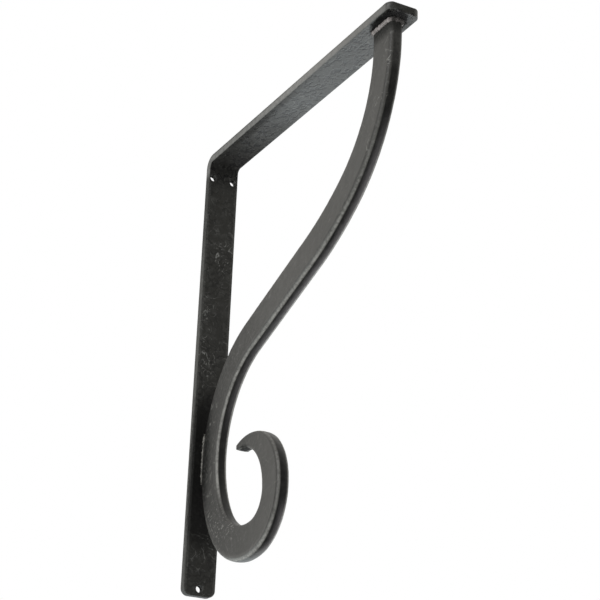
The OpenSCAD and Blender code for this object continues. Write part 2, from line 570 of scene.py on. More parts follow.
@dataclass(frozen=True)
class Section:
    """Section of a flat bar.

    Attributes:
        wide: its long side.
        thick: its short side.
        edge: rounding of its corners.
        side: the row axis along its long side.
        wide_cuts: cuts along each long side.
        thick_cuts: cuts along each short side.
        corner_steps: steps round each corner.
        crown: how far the short sides bulge.
    """

    wide: float
    thick: float
    edge: float
    side: Side
    wide_cuts: int
    thick_cuts: int
    corner_steps: int = 6
    crown: float = 0.0

    def reach(self, across: float, through: float) -> float:
        """Returns how near a point of the section's rim is to an edge, from 0 to 1."""
        inside = max((1 - abs(across)) * self.wide, (1 - abs(through)) * self.thick) / 2
        return max(0.0, 1.0 - inside / (2.2 * self.edge))


class Bench:
    """Shapes one new mesh in edit mode, as a bar drawn out from its section."""

    def __init__(self, name: str, section: Section, at: Point, spacing: float) -> None:
        """Draws the section as a face that looks along Z.

        Args:
            name: the piece's name.
            section: the bar's section.
            at: the section's middle.
            spacing: distance between the rings of the mesh.
        """
        self.section = section
        self.spacing = spacing
        bpy.ops.object.select_all(action="DESELECT")
        bpy.ops.mesh.primitive_plane_add(size=1.0, location=at)
        self.piece = bpy.context.object
        self.piece.name = self.piece.data.name = name
        sides = (section.wide, section.thick)
        self.piece.scale = (*(sides if section.side is Side.X else sides[::-1]), 1.0)
        bpy.ops.object.transform_apply(location=True, rotation=True, scale=True)
        bpy.ops.object.mode_set(mode="EDIT")
        bpy.ops.mesh.select_all(action="SELECT")
        bpy.ops.mesh.bevel(
            offset=section.edge,
            offset_type="OFFSET",
            segments=section.corner_steps,
            profile=0.5,
            affect="VERTICES",
        )
        bpy.ops.mesh.delete(type="ONLY_FACE")
        wide_axis = section.side.value
        self.cut_edges(lambda edge: self.runs(edge, wide_axis), section.wide_cuts)
        self.cut_edges(lambda edge: self.runs(edge, 1 - wide_axis), section.thick_cuts)
        bpy.ops.mesh.select_all(action="SELECT")
        bpy.ops.mesh.edge_face_add()
        self.mark_rim(Vector(at))

    @property
    def mesh(self) -> bmesh.types.BMesh:
        """The piece's mesh, in edit mode."""
        return bmesh.from_edit_mesh(self.piece.data)

    def runs(self, edge: bmesh.types.BMEdge, axis: int) -> bool:
        """Returns whether an edge of the section lies on one of its straight sides along an axis."""
        ends = edge.verts[1].co - edge.verts[0].co
        return abs(abs(ends[axis]) - ends.length) < 1e-7 and ends.length > 0.3 * self.section.edge

    def mark_rim(self, at: Vector) -> None:
        """Gives each point of the section its place in the bar, and crowns the short sides.

        Args:
            at: the section's middle.
        """
        bm = self.mesh
        across = bm.verts.layers.float.new("across")
        through = bm.verts.layers.float.new("through")
        edge = bm.verts.layers.float.new("edge")
        axis = self.section.side.value
        for vert in bm.verts:
            vert[across] = 2 * (vert.co[axis] - at[axis]) / self.section.wide
            vert[through] = 2 * (vert.co[1 - axis] - at[1 - axis]) / self.section.thick
            vert[edge] = self.section.reach(vert[across], vert[through])
            vert.co[axis] -= vert[across] * self.section.crown * vert[through] ** 2
        bmesh.update_edit_mesh(self.piece.data)

    def cut_edges(self, wanted: Callable[[bmesh.types.BMEdge], bool], cuts: int) -> None:
        """Cuts edges into equal lengths.

        Args:
            wanted: says which edges are cut.
            cuts: cuts in each.
        """
        bm = self.mesh
        chosen = [edge for edge in bm.edges if wanted(edge)]
        bpy.ops.mesh.select_all(action="DESELECT")
        for edge in chosen:
            edge.select_set(True)
        bmesh.update_edit_mesh(self.piece.data)
        bpy.ops.mesh.subdivide(number_cuts=cuts)

    def take_cap(self, near: Vector) -> None:
        """Selects one end face.

        Args:
            near: a point that it is nearest to.
        """
        bpy.ops.mesh.select_all(action="DESELECT")
        bm = self.mesh
        caps = [face for face in bm.faces if len(face.verts) > 4]
        min(caps, key=lambda face: (face.calc_center_median() - near).length).select_set(True)
        bm.select_flush_mode()
        bmesh.update_edit_mesh(self.piece.data)

    def pull(self, move: Vector, end: Vector) -> None:
        """Draws the selected end out straight and cuts the new length into rings.

        Args:
            move: how far and which way.
            end: the new end's middle.
        """
        bpy.ops.mesh.extrude_region_move(TRANSFORM_OT_translate={"value": move})
        long = move.length
        way = move.normalized()
        self.cut_edges(
            lambda edge: abs(abs((edge.verts[1].co - edge.verts[0].co).dot(way)) - long) < 1e-6,
            max(1, round(long / self.spacing) - 1),
        )
        self.take_cap(end)

    def spin(self, centre: Vector, radius: float, turn: float) -> None:
        """Draws the selected end round a bend about an axis along X.

        Args:
            centre: the bend's centre.
            radius: its radius at the bar's middle.
            turn: its angle in degrees, from +Y towards +Z.
        """
        angle = math.radians(turn)
        steps = max(4, round(abs(angle) * radius / self.spacing))
        bpy.ops.mesh.spin(steps=steps, angle=-angle, center=centre, axis=(1, 0, 0))

    def ring(self, place: Callable[[float, float], Point]) -> None:
        """Draws the selected end out to a ring of given points.

        Args:
            place: gives a point from its place across and through the bar.
        """
        bpy.ops.mesh.extrude_region_move()
        bm = self.mesh
        across, through = bm.verts.layers.float["across"], bm.verts.layers.float["through"]
        for vert in bm.verts:
            if vert.select:
                vert.co = place(vert[across], vert[through])
        bmesh.update_edit_mesh(self.piece.data)

    def trim(self, at: Point, away: Point) -> None:
        """Cuts the piece off flat, with away pointing at what is removed."""
        bpy.ops.mesh.select_all(action="SELECT")
        bpy.ops.mesh.bisect(plane_co=at, plane_no=away, use_fill=True, clear_outer=True)

    def close(self) -> bpy.types.Object:
        """Ends edit mode with all faces outwards.

        Returns:
            The finished piece.
        """
        bpy.ops.mesh.select_all(action="SELECT")
        bpy.ops.mesh.normals_make_consistent(inside=False)
        bpy.ops.object.mode_set(mode="OBJECT")
        return self.piece


def work(piece: bpy.types.Object, kind: str, **settings: Any) -> None:
    """Adds one modifier to a piece and applies it.

    Args:
        piece: the piece.
        kind: the modifier's type.
        **settings: the modifier's own properties.
    """
    bpy.context.view_layer.objects.active = piece
    modifier = piece.modifiers.new(kind.lower(), kind)
    for name, value in settings.items():
        setattr(modifier, name, value)
    bpy.ops.object.modifier_apply(modifier=modifier.name)


def push_out(piece: bpy.types.Object, depth: float, weight: Weight, **settings: Any) -> None:
    """Moves a piece's surface along its normals.

    Args:
        piece: the piece.
        depth: the full depth.
        weight: gives the share of it at a point, from the point's place and normal.
        **settings: more properties of the Displace modifier.
    """
    group = piece.vertex_groups.new(name="share")
    for vert in piece.data.vertices:
        group.add((vert.index,), weight(vert.co, vert.normal), "REPLACE")
    work(piece, "DISPLACE", strength=depth, vertex_group=group.name, **settings)
    piece.vertex_groups.clear()


def swell(piece: bpy.types.Object, depth: float, weight: Weight) -> None:
    """Makes a piece fuller in places, by a depth and the share of it at a point."""
    push_out(piece, depth, weight, mid_level=0.0)


def roughen(piece: bpy.types.Object, size: float, depth: float, weight: Weight) -> None:
    """Works a wavy relief into a piece's surface.

    Args:
        piece: the piece.
        size: size of its waves.
        depth: its full depth.
        weight: gives its strength at a point, from the point's place and normal.
    """
    waves = bpy.data.textures.new("waves", "CLOUDS")
    waves.noise_scale = size
    push_out(piece, depth, weight, mid_level=0.5, texture=waves, texture_coords="LOCAL")
    bpy.data.textures.remove(waves)


def cut_away(piece: bpy.types.Object, tool: bpy.types.Object) -> None:
    """Cuts a tool's shape out of a piece, merges doubles and throws the tool away.

    Args:
        piece: the piece.
        tool: the shape that is removed from it.
    """
    bpy.ops.object.select_all(action="DESELECT")
    work(piece, "BOOLEAN", operation="DIFFERENCE", object=tool, solver="EXACT")
    bpy.data.objects.remove(tool)
    bpy.ops.object.mode_set(mode="EDIT")
    bpy.ops.mesh.select_all(action="SELECT")
    bpy.ops.mesh.remove_doubles(threshold=0.002 * MM)
    bpy.ops.object.mode_set(mode="OBJECT")


def smooth(piece: bpy.types.Object, angle: float = 40.0) -> None:
    """Shades a piece smooth.

    Args:
        piece: the piece.
        angle: edges sharper than this stay sharp, in degrees.
    """
    bpy.ops.object.select_all(action="DESELECT")
    piece.select_set(True)
    bpy.context.view_layer.objects.active = piece
    bpy.ops.object.shade_smooth_by_angle(angle=math.radians(angle))


def dress(piece: bpy.types.Object, finish: CoatFinish, node: str) -> None:
    """Paints a piece and puts it in the place of its solid.

    Args:
        piece: the piece.
        finish: its finish.
        node: the solid that it stands for.
    """
    piece.data.materials.clear()
    piece.data.materials.append(finish.material())
    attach(piece, BODY)
    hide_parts(node)
    LOG.info("%s: %d faces", piece.name, len(piece.data.polygons))


@dataclass
class MountingBar:
    """The flat bar that is bent once into leg and arm.

    Attributes:
        record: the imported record, which gives the screw holes.
        thick: the bar's thickness.
        edge: rounding of its long edges.
        bend: inside radius of the bend.
        corner: corner radius of its two ends.
        end_rings: rings of the mesh in a rounded end.
        spacing: distance between the other rings.
        pebble: size and depth of the pebbled skin.
        rim: how far the holes' rims are worn back.
        node: the solid that the bar stands for.
    """

    record: dict[str, Any]
    thick: float = 6.0 * MM
    edge: float = 0.6 * MM
    bend: float = 4.0 * MM
    corner: float = 5.5 * MM
    end_rings: int = 10
    spacing: float = 0.78 * MM
    pebble: tuple[float, float] = (2.4 * MM, 0.22 * MM)
    rim: float = 0.35 * MM
    node: str = "mounting_bar"

    def finish(self) -> CoatFinish:
        """Chooses the bar's finish.

        Returns:
            A coat that is darker round the welds, with painted shade beside the scroll, under the bend and
            in the screw holes, and dull down the leg and under the bend.
        """
        bar_low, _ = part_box(self.node)
        # Painted shade inside the screw holes.
        bores = [Spot((x, -0.35 * self.thick, z), (0.0036, 0.0042, 0.0036), 0.8) for x, z, _ in self.holes()]
        arm_low, arm_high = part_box("arm_weld")
        weld_y = (arm_low.y + arm_high.y) / 2
        leg_low, leg_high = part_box("leg_weld_left")
        return BarFinish(
            "charcoal_coat",
            base=(0.0325, 0.032, 0.0282),
            worn=(0.28, 0.28, 0.272),
            soot_and_shade=(0.003, 0.003, 0.0028),
            rough=0.32,
            grain=0.14 * MM,
            patch=180.0,
            mottle=0.17,
            scratch=0.26,
            edge_rub_and_highlight=0.3,
            edge_soot_and_shade=0.1,
            dull_and_shaded_spots=(
                Spot((0, 0, -0.14), (0.1, 0.045, 0.36)),
                Spot((0, 0, 0.012), (0.1, 0.13, 0.1)),
            ),
            dull_more=0.3,
            dull_shade_tint=1.0,
            soot_and_shade_spots=(
                # Darker round the arm weld.
                Spot((-0.0015, weld_y - 0.0045, arm_high.z), (0.0115, 0.0205, 0.005), 0.82),
                # Painted shade on the leg's front beside the scroll's belly and curl.
                Spot((0, leg_high.y, (leg_low.z + leg_high.z) / 2 - 0.009), (0.03, 0.004, 0.076), 0.6),
                # Painted shade under the arm towards the bend.
                Spot((0, 0, arm_high.z), (0.1, 0.085, 0.03), 0.1, 0.6),
                # Darker along the underside's left rim, on the leg's front low down, in patches under the
                # arm and on the leg's side near the top.
                Spot((bar_low.x, -0.055, arm_high.z), (0.0095, 0.16, 0.02), 0.3, 0.45),
                Spot((0, -self.thick, -0.312), (0.03, 0.004, 0.03), 0.3, 0.3),
                Spot((0, -0.095, arm_high.z), (0.05, 0.04, 0.03), 0.2, 0.13),
                Spot((0.008, bar_low.y + 0.012, arm_high.z), (0.012, 0.02, 0.02), 0.3, 0.25),
                Spot((bar_low.x, -0.003, -0.02), (0.003, 0.02, 0.06), 0.4, 0.4),
                *bores,
            ),
            scuff_spots=(
                Spot((0.003, -self.thick, -0.068), (0.011, 0.003, 0.018), share=0.7),
                Spot((-0.006, -self.thick, -0.112), (0.008, 0.003, 0.022), share=0.35),
                Spot((-0.005, -self.thick, -0.155), (0.009, 0.003, 0.03), share=0.6),
                Spot((0.002, -self.thick, -0.3), (0.012, 0.003, 0.025), share=0.4),
            ),
            ragged=(300.0, 0.8),
            wander=1.2 * MM,
            arm_end=bar_low.y,
        )

    def build(self) -> None:
        """Models the bar, drills it, and puts it in place of its solid."""
        low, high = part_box(self.node)
        wide = high.x - low.x
        section = Section(wide, self.thick, self.edge, Side.X, 30, 4, 5)
        foot = low.z + self.corner
        leg_y = high.y - self.thick / 2
        bench = Bench("dressed_bar", section, (0, leg_y, foot), self.spacing)
        start = Vector((0, leg_y, foot))
        self.round_end(bench, lambda x, t, s: (x, leg_y + t, foot - s))
        bench.take_cap(start)
        out = self.bend + self.thick
        bend_z = high.z - out
        bench.pull(Vector((0, 0, bend_z - foot)), Vector((0, leg_y, bend_z)))
        middle = self.bend + self.thick / 2
        bench.spin(Vector((0, high.y - out, bend_z)), middle, 90.0)
        arm_z = high.z - self.thick / 2
        tip_y = low.y + self.corner
        bench.pull(Vector((0, tip_y - high.y + out, 0)), Vector((0, tip_y, arm_z)))
        self.round_end(bench, lambda x, t, s: (x, tip_y - s, arm_z + t))
        piece = bench.close()
        self.work_skin(piece, high.z - self.thick)
        for hole in self.holes():
            self.drill(piece, hole)
        smooth(piece)
        dress(piece, self.finish(), self.node)

    def round_end(self, bench: Bench, place: Callable[[float, float, float], Point]) -> None:
        """Draws the selected end out to its rounded corners.

        Args:
            bench: the bench that holds the bar.
            place: gives a point from its offsets across, through and along the bar.
        """
        half_wide, half_thick = bench.section.wide / 2, bench.section.thick / 2
        for number in range(1, self.end_rings + 1):
            turn = math.radians(90.0) * number / self.end_rings
            along = self.corner * math.sin(turn)
            wide = half_wide - self.corner * (1 - math.cos(turn))
            over = max(0.0, along - self.corner + self.edge)
            thick = half_thick - self.edge + math.sqrt(self.edge**2 - over**2)
            bench.ring(lambda a, t, w=wide, k=thick, s=along: place(a * w, t * k, s))

    def work_skin(self, piece: bpy.types.Object, under: float) -> None:
        """Works in the pebbled skin: strong under the arm, faint elsewhere.

        Args:
            piece: the bar.
            under: height of the arm's underside.
        """

        def pebbled(co: Vector, normal: Vector) -> float:
            """Returns the strength of the pebbles at a point."""
            faces_down = normal.z < -0.9 and abs(co.z - under) < self.edge
            return 1.0 if faces_down else 0.3

        roughen(piece, *self.pebble, pebbled)

    def holes(self) -> list[tuple[float, float, float]]:
        """Reads the screw holes from the record's mounts.

        Returns:
            Each hole's X, Z and radius.
        """
        mounts = {mount["name"]: mount for mount in self.record["mounts"]}
        pair, low = mounts["upper_screw_holes"], mounts["lower_screw_hole"]
        offset = pair["dims"]["spacing_x_mm"] / 2 * MM
        upper = [(side * offset, pair["pos_m"][2], pair["dims"]["hole_r_mm"] * MM) for side in (-1, 1)]
        return [*upper, (low["pos_m"][0], low["pos_m"][2], low["dims"]["r_mm"] * MM)]

    def drill(self, piece: bpy.types.Object, hole: tuple[float, float, float]) -> None:
        """Drills one screw hole with a worn rim.

        Args:
            piece: the bar.
            hole: the hole's X, Z and radius.
        """
        x, z, radius = hole
        bpy.ops.object.select_all(action="DESELECT")
        bpy.ops.mesh.primitive_cylinder_add(
            vertices=48,
            radius=radius,
            depth=self.thick - 2 * self.rim,
            location=(x, -self.thick / 2, z),
            rotation=(math.radians(90.0), 0, 0),
        )
        drill = bpy.context.object
        bpy.ops.object.transform_apply(location=True, rotation=True, scale=True)
        bpy.ops.object.mode_set(mode="EDIT")
        for way in (-1.0, 1.0):
            bpy.ops.mesh.select_all(action="DESELECT")
            bm = bmesh.from_edit_mesh(drill.data)
            for face in bm.faces:
                face.select_set(face.normal.y * way > 0.9)
            bmesh.update_edit_mesh(drill.data)
            wider = (radius + self.rim) / radius
            bpy.ops.mesh.extrude_region_move(TRANSFORM_OT_translate={"value": (0, way * self.rim, 0)})
            bpy.ops.transform.resize(value=(wider, 1.0, wider), center_override=(x, 0, z))
            bpy.ops.mesh.extrude_region_move(TRANSFORM_OT_translate={"value": (0, way * self.thick / 4, 0)})
        bpy.ops.object.mode_set(mode="OBJECT")
        cut_away(piece, drill)


@dataclass
class ScrollBrace:
    """The bar that is forged edgewise into an S with an open curl and a tapered tip.

    Attributes:
        wide: depth of the bar, seen from the side.
        edge: rounding of its edges.
        crown: how far its narrow sides bulge.
        over: how much thicker the forged bar is than its solid.
        bar_thick: thickness of the flat bar that it is welded to.
        top_inset: from the arm's free end to the middle of the scroll's top.
        touch_up: from the leg's lower end to the point where the belly touches it.
        belly: radius of the belly, and its turns above and below that point.
        shoulder: radius and turn of the first bend back.
        neck_r: radius of the bend up to the arm.
        curl: radius and turn of the curl's lower part.
        heel_r: radius of the tight part of the curl.
        tip: outer radius, inner radius and reach of the tapered tip.
        trim_turn: extra turn at the top, trimmed off flush with the arm.
        swell: height, depth and half length of the place where the forging left the bar fuller.
        sag: how much fuller the curl's underside is, the height where that begins, and its run-in.
        waves: size and depth of the forging's unevenness.
        grain: the same for its grain, which is strongest on the narrow sides.
        tip_rings: rings of the mesh in the tip.
        spacing: distance between the other rings.
        node: the solid that the scroll stands for.
        place: the drawn end's middle.
        lean: the drawn end's lean from upright, in degrees.
        up: 1 while the bar is drawn upwards, -1 downwards.
    """

    wide: float = 25.4 * MM
    edge: float = 2.5 * MM
    crown: float = 0.9 * MM
    over: float = 1.0 * MM
    bar_thick: float = 6.0 * MM
    top_inset: float = 22.3 * MM
    touch_up: float = 100.0 * MM
    belly: tuple[float, float, float] = (87.2 * MM, 68.4, 36.0)
    shoulder: tuple[float, float] = (214.0 * MM, 15.8)
    neck_r: float = 118.7 * MM
    curl: tuple[float, float] = (57.6 * MM, 66.7)
    heel_r: float = 31.2 * MM
    tip: tuple[float, float, float] = (46.6 * MM, 38.5 * MM, 54.0 * MM)
    trim_turn: float = 8.0
    swell: tuple[float, float, float] = (-0.118, 0.45 * MM, 0.062)
    sag: tuple[float, float, float] = (0.65 * MM, -0.25, 20.0 * MM)
    waves: tuple[float, float] = (5.0 * MM, 0.16 * MM)
    grain: tuple[float, float] = (1.6 * MM, 0.09 * MM)
    tip_rings: int = 80
    spacing: float = 1.0 * MM
    node: str = "scroll_brace"
    place: Vector = field(default_factory=Vector, init=False)
    lean: float = field(default=0.0, init=False)
    up: int = field(default=1, init=False)

    def finish(self) -> CoatFinish:
        """Chooses the scroll's finish.

        Returns:
            A coat that is dull towards the wall, with painted shade there, and darker at its top.
        """
        low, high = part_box("arm_weld")
        leg_low, leg_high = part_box("leg_weld_left")
        return ScrollFinish(
            "rubbed_coat",
            base=(0.0325, 0.0314, 0.0286),
            # The worn colour is also that of the painted highlight along the edges.
            worn=(0.45, 0.445, 0.425),
            mottle=0.04,
            scratch=0.09,
            edge_rub_and_highlight=1.0,
            # Painted shade: the scroll darker towards the leg.
            dull_and_shaded_spots=(Spot((0, 0.01, -0.225), (0.1, 0.165, 0.22)),),
            dull_more=0.16,
            dull_shade_tint=0.68,
            soot_and_shade_spots=(
                # Darker round the arm weld, at the scroll's top.
                Spot((0, (low.y + high.y) / 2, high.z + 0.002), (0.05, 0.05, 0.016), share=0.75),
                # Painted shade where the belly lies against the leg.
                Spot((0, leg_high.y, (leg_low.z + leg_high.z) / 2), (0.05, 0.018, 0.08), 0.3),
                # A thin darker band across the scroll, low down.
                Spot((0, -0.073, -0.2437), (0.05, 0.013, 0.0036)),
            ),
            scuff_spots=(
                Spot((low.x, low.y, -0.022), (0.006, 0.012, 0.034), share=0.5),
                Spot((low.x, -0.259, -0.043), (0.006, 0.013, 0.008), share=0.65),
                Spot((low.x, -0.251, -0.074), (0.006, 0.013, 0.009), share=0.65),
                Spot((low.x, -0.05, -0.29), (0.006, 0.04, 0.03), share=0.6),
                Spot((low.x, -0.018, -0.235), (0.006, 0.022, 0.06), share=0.3),
            ),
            ragged=(420.0, 0.25),
            wander=0.5 * MM,
            # Lighter narrow sides at the scroll's top and the curl's bottom: dirt and painted sheen.
            dust_and_sheen_spots=(
                Spot((0, low.y, high.z), (0.05, 0.02, 0.045), 0.4),
                Spot((0, -0.094, -0.325), (0.05, 0.02, 0.012), 0.3),
            ),
        )

    def build(self) -> None:
        """Models the scroll and puts it in place of its solid."""
        low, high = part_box(self.node)
        bar_low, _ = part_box("mounting_bar")
        thick = high.x - low.x + self.over
        section = Section(self.wide, thick, self.edge, Side.Y, 20, 6, 8, self.crown)
        touch = Vector((0, -self.bar_thick - self.wide / 2, bar_low.z + self.touch_up))
        top = Vector((0, bar_low.y + self.top_inset, high.z))
        bench = Bench("dressed_scroll", section, touch, self.spacing)
        self.draw_up(bench, touch, top)
        bench.trim(top, (0, 0, 1))
        bench.take_cap(touch)
        self.draw_down(bench, touch)
        piece = bench.close()
        swell(piece, self.swell[1], self.swelling)
        swell(piece, self.sag[0], self.sagging)
        roughen(piece, *self.waves, lambda co, normal: 1.0)
        roughen(piece, *self.grain, lambda co, normal: 1.0 - 0.7 * abs(normal.x))
        smooth(piece)
        dress(piece, self.finish(), self.node)

    def swelling(self, co: Vector, normal: Vector) -> float:
        """Weighs the fuller place.

        Args:
            co: a point of the surface.
            normal: the surface's normal there; not used.

        Returns:
            The strength at that point.
        """
        height, _, half = self.swell
        away = (co.z - height) / half
        return math.exp(-2.0 * away * away)

    def sagging(self, co: Vector, normal: Vector) -> float:
        """Weighs the fuller underside.

        Args:
            co: a point of the surface.
            normal: the surface's normal there.

        Returns:
            The strength at that point.
        """
        _, begin, drop = self.sag
        below = (begin - co.z) / drop
        return max(0.0, -normal.z) * min(1.0, max(0.0, below))

    def draw_up(self, bench: Bench, touch: Vector, top: Vector) -> None:
        """Draws the bar from the belly up to the arm.

        Args:
            bench: the bench that holds the scroll.
            touch: the bar's middle where the belly touches the leg.
            top: the bar's middle where it meets the arm.
        """
        belly_r, belly_up, _ = self.belly
        shoulder_r, shoulder_turn = self.shoulder
        a, b = math.radians(belly_up), math.radians(belly_up - shoulder_turn)
        rise = top.z - touch.z - belly_r * math.sin(a)
        rise -= shoulder_r * (math.sin(a) - math.sin(b)) + self.neck_r * math.sin(b)
        reach = touch.y - top.y - belly_r * (1 - math.cos(a))
        reach -= shoulder_r * (math.cos(b) - math.cos(a)) - self.neck_r * math.cos(b)
        top_lean = a - math.acos((reach * math.cos(a) - rise * math.sin(a)) / self.neck_r)
        straight = rise * math.cos(a) + reach * math.sin(a) - self.neck_r * math.sin(a - top_lean)
        self.place, self.lean, self.up = touch.copy(), 0.0, 1
        self.turn(bench, Bend.OUT, belly_r, belly_up)
        self.run(bench, straight)
        self.turn(bench, Bend.BACK, shoulder_r, shoulder_turn)
        self.turn(bench, Bend.BACK, self.neck_r, math.degrees(b - top_lean) + self.trim_turn)

    def draw_down(self, bench: Bench, touch: Vector) -> None:
        """Draws the bar from the belly down, round the curl and out to the tip.

        Args:
            bench: the bench that holds the scroll.
            touch: the bar's middle where the belly touches the leg.
        """
        belly_r, _, belly_down = self.belly
        curl_r, curl_turn = self.curl
        self.place, self.lean, self.up = touch.copy(), 0.0, -1
        self.turn(bench, Bend.OUT, belly_r, belly_down)
        self.turn(bench, Bend.OUT, curl_r, curl_turn)
        self.turn(bench, Bend.OUT, self.heel_r, 180.0 - belly_down - curl_turn)
        self.taper(bench)

    def turn(self, bench: Bench, bend: Bend, radius: float, turn: float) -> None:
        """Draws the bar round one bend.

        Args:
            bench: the bench that holds the scroll.
            bend: the way it turns.
            radius: its radius at the bar's middle.
            turn: its angle in degrees.
        """
        centre = self.place + bend.value * radius * self.inward()
        bench.spin(centre, radius, bend.value * self.up * turn)
        self.lean += bend.value * turn
        self.place = centre - bend.value * radius * self.inward()

    def run(self, bench: Bench, length: float) -> None:
        """Draws the bar out straight.

        Args:
            bench: the bench that holds the scroll.
            length: how far.
        """
        lean = math.radians(self.lean)
        move = length * Vector((0, -math.sin(lean), self.up * math.cos(lean)))
        self.place += move
        bench.pull(move, self.place)

    def inward(self) -> Vector:
        """Returns the direction across the bar, on the side away from the wall at the belly."""
        lean = math.radians(self.lean)
        return Vector((0, -math.cos(lean), -self.up * math.sin(lean)))

    def taper(self, bench: Bench) -> None:
        """Draws the tip out as a crescent between two circles.

        Args:
            bench: the bench that holds the scroll.
        """
        out_r, in_r, reach = self.tip
        half, half_thick = self.wide / 2, bench.section.thick / 2
        start = self.place.copy()
        out_turn = math.acos((out_r - half - reach) / out_r)
        in_turn = math.acos((in_r + half - reach) / in_r)
        for number in range(1, self.tip_rings + 1):
            a, b = out_turn * number / self.tip_rings, in_turn * number / self.tip_rings
            outer = Vector((0, half - out_r + out_r * math.cos(a), out_r * math.sin(a)))
            inner = Vector((0, -half - in_r + in_r * math.cos(b), in_r * math.sin(b)))
            bench.ring(
                lambda s, t, o=outer, i=inner: self.tip_point(
                    start, o, i, s * (1 - self.crown / half * t * t), t * half_thick
                )
            )

    @staticmethod
    def tip_point(start: Vector, outer: Vector, inner: Vector, across: float, x: float) -> Vector:
        """Returns the point between a ring's two ends, which are given from the taper's start."""
        spot = inner.lerp(outer, (1 + across) / 2)
        return Vector((x, start.y - spot.y, start.z + spot.z))


@dataclass
class WeldBead:
    """A bead laid drop by drop along a path.

    Attributes:
        name: the piece's name.
        node: the solid that it stands for.
        path: the drops' middles.
        drop: radius of a drop.
        floor: a point on the face that it is laid on, and that face's outward normal.
        seed: makes the drops' sizes.
        finish: its finish.
        squash: length of a drop along the path, as a share of its width.
        vary: smallest and largest size of a drop, as shares of its radius.
        stray: how far a drop strays from the path, as a share of its radius.
        ends: size of the drops at an open path's ends as a share, and what each next drop gains.
        voxel: how finely the drops are melted together.
    """

    name: str
    node: str
    path: list[Vector]
    drop: float
    floor: tuple[Point, Point]
    seed: int
    finish: CoatFinish
    squash: float = 0.62
    vary: tuple[float, float] = (0.86, 1.1)
    stray: float = 0.12
    ends: tuple[float, float] = (0.55, 0.12)
    voxel: float = 0.24 * MM

    def build(self) -> None:
        """Lays the drops, melts them together and puts the bead in place of its solid."""
        draw = random.Random(self.seed)
        bpy.ops.object.select_all(action="DESELECT")
        drops = []
        for number, at in enumerate(self.path):
            ahead = self.path[(number + 1) % len(self.path)] - self.path[number - 1]
            if number in (0, len(self.path) - 1) and self.fullness(0) < 1.0:
                ahead = self.path[1] - self.path[0]
            size = self.drop * draw.uniform(*self.vary) * self.fullness(number)
            wander = Vector([draw.uniform(-self.stray, self.stray) * self.drop for _ in range(3)])
            bpy.ops.mesh.primitive_uv_sphere_add(
                segments=20, ring_count=12, radius=size, location=at + wander
            )
            drop = bpy.context.object
            drop.rotation_euler = ahead.to_track_quat("Z", "Y").to_euler()
            drop.scale = (1.0, 1.0, self.squash)
            drops.append(drop)
        for drop in drops:
            drop.select_set(True)
        bpy.context.view_layer.objects.active = drops[0]
        bpy.ops.object.join()
        bpy.ops.object.transform_apply(location=True, rotation=True, scale=True)
        piece = bpy.context.object
        piece.name = piece.data.name = self.name
        work(piece, "REMESH", mode="VOXEL", voxel_size=self.voxel)
        work(piece, "SMOOTH", factor=0.5, iterations=2)
        self.trim(piece)
        smooth(piece, 60.0)
        dress(piece, self.finish, self.node)

    def fullness(self, number: int) -> float:
        """Sizes a drop: smaller towards the ends of an open path.

        Args:
            number: the drop's number.

        Returns:
            Its size as a share.
        """
        if (self.path[0] - self.path[-1]).length < 4 * self.drop:
            return 1.0
        least, gain = self.ends
        return min(1.0, least + gain * min(number, len(self.path) - 1 - number))

    def trim(self, piece: bpy.types.Object) -> None:
        """Cuts the bead off flush with the face that it is laid on.

        Args:
            piece: the bead.
        """
        at, outward = (Vector(point) for point in self.floor)
        bpy.ops.object.select_all(action="DESELECT")
        bpy.ops.mesh.primitive_cube_add(size=1.0, location=at - outward / 2)
        cut_away(piece, bpy.context.object)


